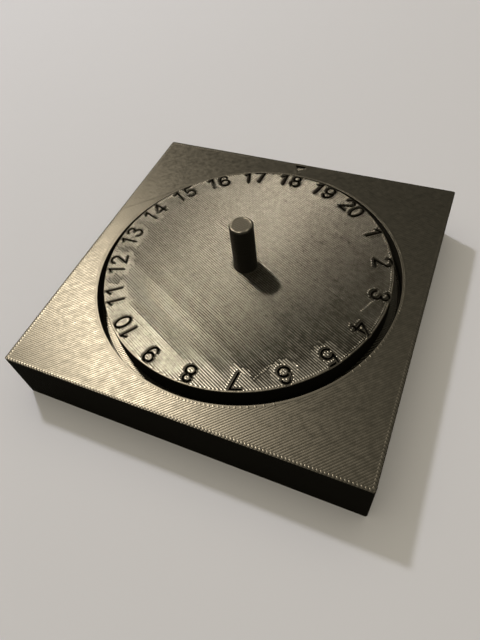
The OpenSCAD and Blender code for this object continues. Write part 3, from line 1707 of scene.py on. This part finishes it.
@dataclass
class Dial:
    """The disc with the numbers engraved round its rim."""

    radius: float
    bottom: float
    top: float
    hole_radius: float = 2.12
    hole_lead: float = 0.5
    number_depth: float = 1.1
    face_angle: float = -26.5
    steps: int = 240
    hole_steps: int = 48
    fine_steps: int = 900
    groove_spacing: float = 0.13
    counter_spacing: float = 0.1
    skin: float = 0.03
    lap: float = 0.24
    number_gap: float = 0.13
    counter_area: float = 2.5
    crown: float = 0.17
    end_lift: float = 0.2
    border_share: float = 0.95
    wall_left: float = 0.07
    pressed_halo: float = 1.3
    pressed_steps: Stops = (
        (-27.0, -20.4),
        (7.6, -17.8),
        (14.0, -15.0),
        (18.9, -10.9),
        (21.5, -3.0),
    )
    press_left: float = 0.4
    press_edge: float = 0.15
    press_fading: float = 2.5
    press_full: float = -6.0
    press_none: float = 3.0
    bands: Stops = (
        (-26.0, 0.48),
        (-20.5, 0.48),
        (-18.0, 0.56),
        (-15.5, 0.7),
        (-14.7, 0.85),
        (-14.5, 0.85),
        (-14.3, 0.38),
        (-12.5, 0.45),
        (-11.4, 0.5),
        (-11.3, 0.85),
        (-11.1, 0.85),
        (-11.0, 0.46),
        (-4.0, 0.52),
        (5.7, 0.55),
        (5.9, 0.4),
        (6.1, 0.55),
        (26.0, 0.5),
    )
    fade: Stops = ((-8.0, 1.0), (0.0, 0.87), (6.0, 0.74), (12.0, 0.68), (19.0, 0.42))
    pressed_shine: Stops = ((-12.0, 0.2), (-6.0, 0.0), (6.0, 0.3), (12.0, 0.8), (20.0, 1.4))
    scars: tuple[tuple[float, float, float], ...] = ((18.8, -14.8, -11.4), (21.5, 6.4, 10.8))

    @property
    def ring(self) -> NumeralRing:
        """The numbers."""
        return NumeralRing(self.radius)

    def disc(self, shop: Workshop) -> bpy.types.Mesh:
        """Builds the disc without its beads.

        Args:
            shop: the tools.

        Returns:
            The mesh, in millimetres.
        """
        printer = shop.printer
        top, bottom = printer.core_level(self.top), self.bottom + self.skin
        rim = circle(self.radius, self.steps)
        hole = circle(self.hole_radius, self.hole_steps)
        foot = circle(self.hole_radius + self.hole_lead, self.hole_steps)
        grooves = [
            held_within(loop, self.radius - self.wall_left)
            for number in self.ring.numerals()
            for loop in number.outlines(0.0, self.groove_spacing)
        ]
        solid = Solid()
        solid.add_mesh(printer.wall(shop.layers, rim, top, bottom, SEED + 2))
        solid.add_face([rim, hole], top, grooves, self.top - self.number_depth)
        solid.add_face([rim, foot], bottom)
        solid.add_turned(
            [
                (self.hole_radius, top),
                (self.hole_radius, self.bottom + self.hole_lead),
                (self.hole_radius + self.hole_lead, bottom),
            ],
            self.hole_steps,
        )
        return solid.mesh("disc", printer.sharp_angle)

    def press(self, points: np.ndarray) -> np.ndarray:
        """What share of its height is left to a bead at each point.

        Args:
            points: places in plan.

        Returns:
            The shares: one, but less in the short runs round the numbers on one side.
        """
        along, across = (points @ way for way in directions(self.face_angle))
        zone = (self.pressed_halo - self.ring(points)) / self.press_edge
        for start, limit in self.pressed_steps:
            ahead, beside = (along - start) / self.press_fading, (limit - across) / self.press_edge
            zone = np.maximum(zone, np.minimum(ahead, beside))
        zone = np.clip(zone + 0.5, 0, 1)
        side = np.clip((across - self.press_none) / (self.press_full - self.press_none), 0, 1)
        return 1 - (1 - self.press_left) * zone * side

    def build(self, tools: Workshop) -> None:
        """Builds and dresses the dial's pieces.

        Args:
            tools: the tools.
        """
        settings = {"end_lift": self.end_lift, "border_share": self.border_share}
        shop = tools.on(Body.SPINNER, Slot.DIAL, crown=self.crown, **settings)
        printer, chance, angle = shop.printer, np.random.default_rng(SEED + 1), self.face_angle
        # Painted shade: the disc, whose walls and number grooves show, and the underside beads take
        # the darkest colours, in place of the shade in the grooves and in the gap round the dial.
        painted_shade = {"deep": PAINTED_SHADE_DEEP, "pale": PAINTED_SHADE_PALE}
        walls = PrintedPlastic(
            "dial_wall_plastic", 0.0, **painted_shade, roughness=0.5, specular=0.15, stacked=True
        ).material()
        face = PrintedPlastic(
            "dial_face_plastic",
            angle,
            roughness=0.3,
            roughness_spread=0.1,
            specular=0.1,
            cloud_size=0.7,
            coat_mottle=1.7,
            coat_streak=0.4,
            bands=self.bands,
            fade=self.fade,
            pressed_shine=self.pressed_shine,
        ).material()
        border = PrintedPlastic("dial_edge_plastic", angle, specular=0.4).material()
        shop.finish("dial_disc", self.disc(shop), walls, "dial")

        numbers = Overlap((self.ring,), self.number_gap - self.lap)
        room = Overlap((Disc(self.radius), Outside(Disc(self.hole_radius)), numbers), self.lap)
        beads = printer.hatch(angle, room, self.radius, chance, press=self.press, scars=self.scars)
        shop.lay("dial_face_beads", beads, self.top, face, printer.bead_points)

        edge = printer.half_width
        rim = circle(self.radius - edge, self.fine_steps)
        gaps = Overlap((self.ring,), self.number_gap)
        beads = printer.broken_border(rim, gaps, chance, self.press)
        beads.append(printer.border(circle(self.hole_radius + edge, self.hole_steps), chance))
        beads += [
            printer.border(loop, chance, self.press)
            for number in self.ring.numerals()
            for loop in number.outlines(edge, self.counter_spacing)
            if loop_area(loop) < self.counter_area
        ]
        shop.lay("dial_edge_beads", beads, self.top, border)

        foot = self.hole_radius + self.hole_lead
        room = Overlap((Disc(self.radius), Outside(Disc(foot))), self.lap)
        around = [circle(self.radius - edge, self.steps), circle(foot + edge, self.hole_steps)]
        shop.underside(
            "dial_underside_beads", room, self.radius, around, self.bottom, -angle, walls
        )


@dataclass
class Spindle:
    """The plain pin that is the dial's axle and its grip."""

    radius: float
    bottom: float
    top: float
    bevel: float = 0.15
    steps: int = 64
    tip_angle: float = 45.0
    tip_crown: float = 0.05
    ring_noise: float = 0.6

    def build(self, tools: Workshop) -> None:
        """Builds and dresses the spindle's pieces.

        Args:
            tools: the tools.
        """
        shop = tools.on(Body.SPINNER, Slot.SPINDLE)
        printer, chance = shop.printer, np.random.default_rng(SEED + 2)
        plastic = PrintedPlastic("spindle_plastic", 0.0, roughness=0.4, stacked=True).material()
        dull = PrintedPlastic(
            "spindle_tip_plastic", self.tip_angle, roughness=0.42, specular=0.33
        ).material()
        top, end = printer.core_level(self.top), self.radius - self.bevel
        outline = circle(self.radius, self.steps)
        solid = Solid()
        solid.add_mesh(printer.wall(shop.layers, outline, top, self.bottom, SEED + 3, self.bevel))
        for level in (top, self.bottom):
            solid.add_face([circle(end, self.steps)], level)
        shop.finish("spindle_pin", solid.mesh("pin", printer.sharp_angle), plastic, "spindle")

        uneven = replace(printer, border_noise=self.ring_noise)
        ring = uneven.border(circle(end - printer.half_width, self.steps // 2), chance)
        shop.lay("spindle_ring_bead", [ring], self.top, plastic, printer.bead_points)

        flat = shop.set_to(crown=self.tip_crown)
        room = Disc(end - printer.half_width)
        beads = flat.printer.hatch(self.tip_angle, room, self.radius, chance)
        flat.lay("spindle_tip_beads", beads, top + printer.crown / 2, dull, printer.bead_points)


# Studio


@dataclass(frozen=True)
class Viewpoint:
    """Where the photograph was taken from, in millimetres, and how it was framed."""

    place: tuple[float, float, float] = (29.09, -55.51, 79.84)
    right: tuple[float, float, float] = (0.91776, 0.38600, -0.09344)
    up: tuple[float, float, float] = (-0.26107, 0.76366, 0.59048)
    lens: float = 28.55
    sensor: float = 36.0
    near: float = 0.002
    far: float = 20.0

    def build(self) -> None:
        """Makes the camera."""
        data = bpy.data.cameras.new("camera")
        data.lens, data.sensor_width, data.sensor_fit = self.lens, self.sensor, "AUTO"
        data.clip_start, data.clip_end = self.near, self.far
        right, up = Vector(self.right).normalized(), Vector(self.up).normalized()
        turn = Matrix((right, up, right.cross(up))).transposed().to_4x4()
        camera = place_object("camera", data)
        camera.matrix_world = Matrix.Translation(Vector(self.place) * MM) @ turn
        bpy.context.scene.camera = camera
        LOG.info("camera at %s mm", self.place)


@dataclass(frozen=True)
class Studio:
    """A plain pale floor and soft light from the back left."""

    light_bearing: float = 149.3
    light_height: float = 54.8
    light_distance: float = 573.0
    light_over: float = 12.0
    light_radius: float = 22.0
    key_strength: float = 1.0
    key_colour: Colour = (1.0, 1.0, 1.0)
    sheen_strength: float = 7.3
    sheen_colour: Colour = (1.0, 0.86, 0.62)
    fill: Colour = (1.0, 0.92, 0.69)
    low_fill: Colour = (0.03, 0.03, 0.03)
    fill_from: float = 0.45
    fill_to: float = 0.93
    pale: Colour = (0.70, 0.70, 0.78)
    shade: Colour = (0.07, 0.07, 0.07)
    floor_half: float = 3.0
    floor_drop: float = 0.02

    def _lamp(self, name: str, strength: float, colour: Colour) -> bpy.types.Object:
        """Adds a lamp at the studio's one place for lamps.

        Args:
            name: the lamp's name.
            strength: the light that reaches the counter, in watts a square metre.
            colour: its colour.

        Returns:
            The lamp.
        """
        distance = self.light_distance * MM
        data = bpy.data.lights.new(name, "POINT")
        data.energy = strength * 4 * math.pi * distance**2
        data.shadow_soft_size, data.color = self.light_radius * MM, colour
        turn, rise = math.radians(self.light_bearing), math.radians(self.light_height)
        flat = math.cos(rise)
        towards = Vector((math.cos(turn) * flat, math.sin(turn) * flat, math.sin(rise)))
        lamp = place_object(name, data)
        lamp.location = towards * distance + Vector((0, 0, self.light_over * MM))
        return lamp

    def _floor(self) -> None:
        """Lays the floor, which is pale to the camera and dimmer in what it throws back."""
        half, drop = self.floor_half, -self.floor_drop * MM
        mesh = bpy.data.meshes.new("floor")
        corners = [(half * x, half * y, drop) for x, y in ((-1, -1), (1, -1), (1, 1), (-1, 1))]
        mesh.from_pydata(corners, [], [(0, 1, 2, 3)])
        material = bpy.data.materials.new("floor_paper")
        graph = Graph.of(material)
        seen = graph.node("ShaderNodeLightPath", None, "Is Camera Ray")
        colour = graph.mix(seen, self.shade, self.pale)
        paper = graph.node("ShaderNodeBsdfDiffuse", {"Color": colour})
        graph.end("ShaderNodeOutputMaterial", "Surface", paper)
        mesh.materials.append(material)
        floor = place_object("floor", mesh)

    def _world(self) -> None:
        """Sets the light from all round, and the pale background that the camera sees."""
        world = bpy.data.worlds.new("studio")
        graph = Graph.of(world)
        seen = graph.node("ShaderNodeLightPath", None, "Is Camera Ray")
        height = graph.parts(graph.node("ShaderNodeTexCoord", None, "Object")).also("Z")
        inputs = {"Value": height, "From Min": self.fill_from, "From Max": self.fill_to}
        rise = graph.node("ShaderNodeMapRange", inputs, interpolation_type="SMOOTHSTEP")
        colour = graph.mix(seen, graph.mix(rise, self.low_fill, self.fill), self.pale)
        sky = graph.node("ShaderNodeBackground", {"Color": colour, "Strength": 1.0})
        graph.end("ShaderNodeOutputWorld", "Surface", sky)
        bpy.context.scene.world = world

    def build(self) -> None:
        """Lights the scene."""
        bpy.context.scene.view_settings.view_transform = "Standard"
        self._world()
        self._floor()
        self._lamp("key", self.key_strength, self.key_colour)
        self._lamp("sheen", self.sheen_strength, self.sheen_colour).visible_diffuse = False
        LOG.info("studio lit from bearing %.1f", self.light_bearing)


def main() -> None:
    """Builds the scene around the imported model."""
    logging.basicConfig(level=logging.INFO, format="%(name)s: %(message)s", force=True)
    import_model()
    Viewpoint().build()
    shop = Workshop(Printer(), laid_bead_recipe(), stacked_layer_recipe())
    (low, high), (dial_low, dial_high), (pin_low, pin_high) = (
        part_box(n) for n in ("base", "dial", "spindle")
    )
    parts = (
        CounterBase((high.x - low.x) / MM, high.z / MM),
        Dial((dial_high.x - dial_low.x) / 2 / MM, dial_low.z / MM, dial_high.z / MM),
        Spindle((pin_high.x - pin_low.x) / 2 / MM, pin_low.z / MM, pin_high.z / MM),
    )
    for part in parts:
        part.build(shop)
    Studio().build()


if __name__ == "__main__":
    main()
